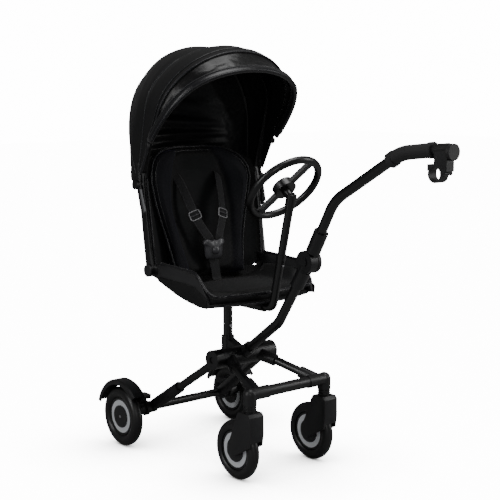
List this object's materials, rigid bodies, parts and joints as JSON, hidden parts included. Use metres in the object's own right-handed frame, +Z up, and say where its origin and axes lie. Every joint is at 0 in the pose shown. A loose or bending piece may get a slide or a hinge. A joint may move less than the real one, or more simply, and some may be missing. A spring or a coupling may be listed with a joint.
{
  "type": "ride-on baby stroller with hood and steering wheel",
  "caption": "Child's ride-on seat with folding hood, harness and toy steering wheel on a castered folding frame, with a jointed arm and tube clamp for a host stroller",
  "frame": {"origin": "on the ground under the middle of the footprint, from the clamp knob to the rear fenders", "axes": "+X to the child's left, -Y to the front where the arm reaches out, +Z up"},
  "size_m": [0.4236, 1.0694, 1.0641],
  "materials": {
    "frame_tube": "satin black powder coat",
    "black_plastic": "satin moulded black with a fine grain",
    "grey_plastic": "matt dark grey moulding",
    "buckle_plastic": "mid grey moulding",
    "tyre_rubber": "smooth black tyre",
    "grip_rubber": "charcoal rubber",
    "steel": "bright steel",
    "canopy_cloth": "black woven cloth",
    "visor_cloth": "satin black coated cloth",
    "liner_cloth": "blue-black padded cloth",
    "webbing": "charcoal webbing"
  },
  "bodies": {
    "frame": {"hub_housing": "black_plastic", "hub_caps": "black_plastic", "front_leg_left": "frame_tube", "front_leg_right": "frame_tube", "front_corner_left": "black_plastic", "front_corner_right": "black_plastic", "front_crossbar": "frame_tube", "arm_lower_tube": "frame_tube", "knuckle_lower": "black_plastic", "seat_post_outer": "frame_tube", "seat_post_screw": "steel"},
    "rear_frame": {"rear_leg_left": "frame_tube", "rear_leg_right": "frame_tube", "rear_bracket_left": "black_plastic", "rear_bracket_right": "black_plastic", "rear_axle_bar": "frame_tube", "rear_axle_pins": "steel", "fender_left": "black_plastic", "fender_right": "black_plastic"},
    "seat": {"seat_post_inner": "frame_tube", "seat_mount": "black_plastic", "seat_pan": "canopy_cloth", "seat_sides": "grey_plastic", "seat_cushion": "canopy_cloth", "crotch_strap": "webbing", "buckle_body": "buckle_plastic", "column_lower": "frame_tube"},
    "buckle_release": {"buckle_button": "buckle_plastic"},
    "column": {"column_upper": "frame_tube"},
    "column_catch": {"column_button": "steel"},
    "steering": {"steering_wheel": "black_plastic"},
    "horn": {"horn_button": "black_plastic"},
    "backrest": {"backrest_frame": "frame_tube", "backrest_shell": "canopy_cloth", "seat_liner": "liner_cloth", "shoulder_straps": "webbing", "hood_hinges": "black_plastic", "hood_rear": "canopy_cloth"},
    "hood_middle": {"hood_mid": "canopy_cloth"},
    "hood_front": {"hood_front": "canopy_cloth"},
    "visor": {"visor": "visor_cloth"},
    "arm": {"knuckle_upper": "black_plastic", "arm_upper_tube": "frame_tube", "grip": "grip_rubber", "clamp_body": "black_plastic"},
    "arm_release": {"knuckle_button": "black_plastic"},
    "clamp_jaw": {"clamp_jaw": "grey_plastic"},
    "clamp_knob": {"clamp_knob": "grey_plastic"},
    "rear_wheel_left": {"rear_tyre_left": "tyre_rubber", "rear_rim_left": "grey_plastic"},
    "brake_left": {"brake_pedal_left": "black_plastic"},
    "caster_left": {"caster_fork_left": "black_plastic"},
    "front_wheel_left": {"front_tyre_left": "tyre_rubber", "front_rim_left": "grey_plastic"},
    "rear_wheel_right": {"rear_tyre_right": "tyre_rubber", "rear_rim_right": "grey_plastic"},
    "brake_right": {"brake_pedal_right": "black_plastic"},
    "caster_right": {"caster_fork_right": "black_plastic"},
    "front_wheel_right": {"front_tyre_right": "tyre_rubber", "front_rim_right": "grey_plastic"}
  },
  "joints": [
    {"name": "rear_fold", "type": "hinge", "parent": "frame", "child": "rear_frame", "pos_m": [0, 0.16262, 0.271], "axis": [1, 0, 0], "range_deg": [-50, 0]},
    {"name": "seat_height", "type": "slide", "parent": "frame", "child": "seat", "axis": [0, 0, 1], "range_m": [0, 0.05]},
    {"name": "backrest_recline", "type": "hinge", "parent": "seat", "child": "backrest", "pos_m": [0, 0.30262, 0.495], "axis": [1, 0, 0], "range_deg": [-40, 0]},
    {"name": "hood_fold", "type": "hinge", "parent": "backrest", "child": "hood_front", "pos_m": [0, 0.33453, 0.7137], "axis": [1, 0, 0], "range_deg": [-45, 0]},
    {"name": "hood_middle_fold", "type": "hinge", "parent": "backrest", "child": "hood_middle", "pos_m": [0, 0.33453, 0.7137], "axis": [1, 0, 0], "range_deg": [-28, 0]},
    {"name": "visor_flip", "type": "hinge", "parent": "hood_front", "child": "visor", "pos_m": [0, 0.2632, 0.87021], "axis": [1, 0, 0], "range_deg": [-6, 0]},
    {"name": "arm_fold", "type": "hinge", "parent": "frame", "child": "arm", "pos_m": [0, -0.09137, 0.546], "axis": [1, 0, 0], "range_deg": [0, 90]},
    {"name": "arm_release_press", "type": "slide", "parent": "frame", "child": "arm_release", "axis": [1, 0, 0], "range_m": [0, 0.0025], "stiffness_N_per_m": 900},
    {"name": "clamp_open", "type": "hinge", "parent": "arm", "child": "clamp_jaw", "pos_m": [0, -0.51538, 0.785], "axis": [1, 0, 0], "range_deg": [-70, 0]},
    {"name": "clamp_tighten", "type": "hinge", "parent": "arm", "child": "clamp_knob", "pos_m": [0, -0.52438, 0.83], "axis": [0, 1, 0], "continuous": true},
    {"name": "column_extend", "type": "slide", "parent": "seat", "child": "column", "axis": [0, -0.2334, 0.9724], "range_m": [0, 0.05]},
    {"name": "column_catch_press", "type": "slide", "parent": "column", "child": "column_catch", "axis": [0, 0.9724, 0.2334], "range_m": [0, 0.003], "stiffness_N_per_m": 800},
    {"name": "steer", "type": "hinge", "parent": "column", "child": "steering", "pos_m": [0, -0.00147, 0.7173], "axis": [0, 0.7547, 0.6561], "continuous": true},
    {"name": "horn_press", "type": "slide", "parent": "steering", "child": "horn", "axis": [0, -0.7547, -0.6561], "range_m": [0, 0.003], "stiffness_N_per_m": 600},
    {"name": "buckle_press", "type": "slide", "parent": "seat", "child": "buckle_release", "axis": [0, 1, 0], "range_m": [0, 0.003], "stiffness_N_per_m": 900},
    {"name": "rear_roll_left", "type": "hinge", "parent": "rear_frame", "child": "rear_wheel_left", "pos_m": [0.189, 0.43662, 0.08], "axis": [1, 0, 0], "continuous": true},
    {"name": "brake_press_left", "type": "hinge", "parent": "rear_frame", "child": "brake_left", "pos_m": [0.14, 0.40063, 0.102], "axis": [1, 0, 0], "range_deg": [-12, 0]},
    {"name": "caster_swivel_left", "type": "hinge", "parent": "frame", "child": "caster_left", "pos_m": [0.1235, -0.01837, 0.19], "axis": [0, 0, 1], "continuous": true},
    {"name": "front_roll_left", "type": "hinge", "parent": "caster_left", "child": "front_wheel_left", "pos_m": [0.1235, 0.02863, 0.075], "axis": [1, 0, 0], "continuous": true},
    {"name": "rear_roll_right", "type": "hinge", "parent": "rear_frame", "child": "rear_wheel_right", "pos_m": [-0.189, 0.43662, 0.08], "axis": [1, 0, 0], "continuous": true},
    {"name": "brake_press_right", "type": "hinge", "parent": "rear_frame", "child": "brake_right", "pos_m": [-0.14, 0.40063, 0.102], "axis": [1, 0, 0], "range_deg": [-12, 0]},
    {"name": "caster_swivel_right", "type": "hinge", "parent": "frame", "child": "caster_right", "pos_m": [-0.1235, -0.01837, 0.19], "axis": [0, 0, 1], "continuous": true},
    {"name": "front_roll_right", "type": "hinge", "parent": "caster_right", "child": "front_wheel_right", "pos_m": [-0.1235, 0.02863, 0.075], "axis": [1, 0, 0], "continuous": true}
  ],
  "couplings": [
    {"joint": "hood_middle_fold", "follows": "hood_fold", "ratio": 0.62222}
  ]
}
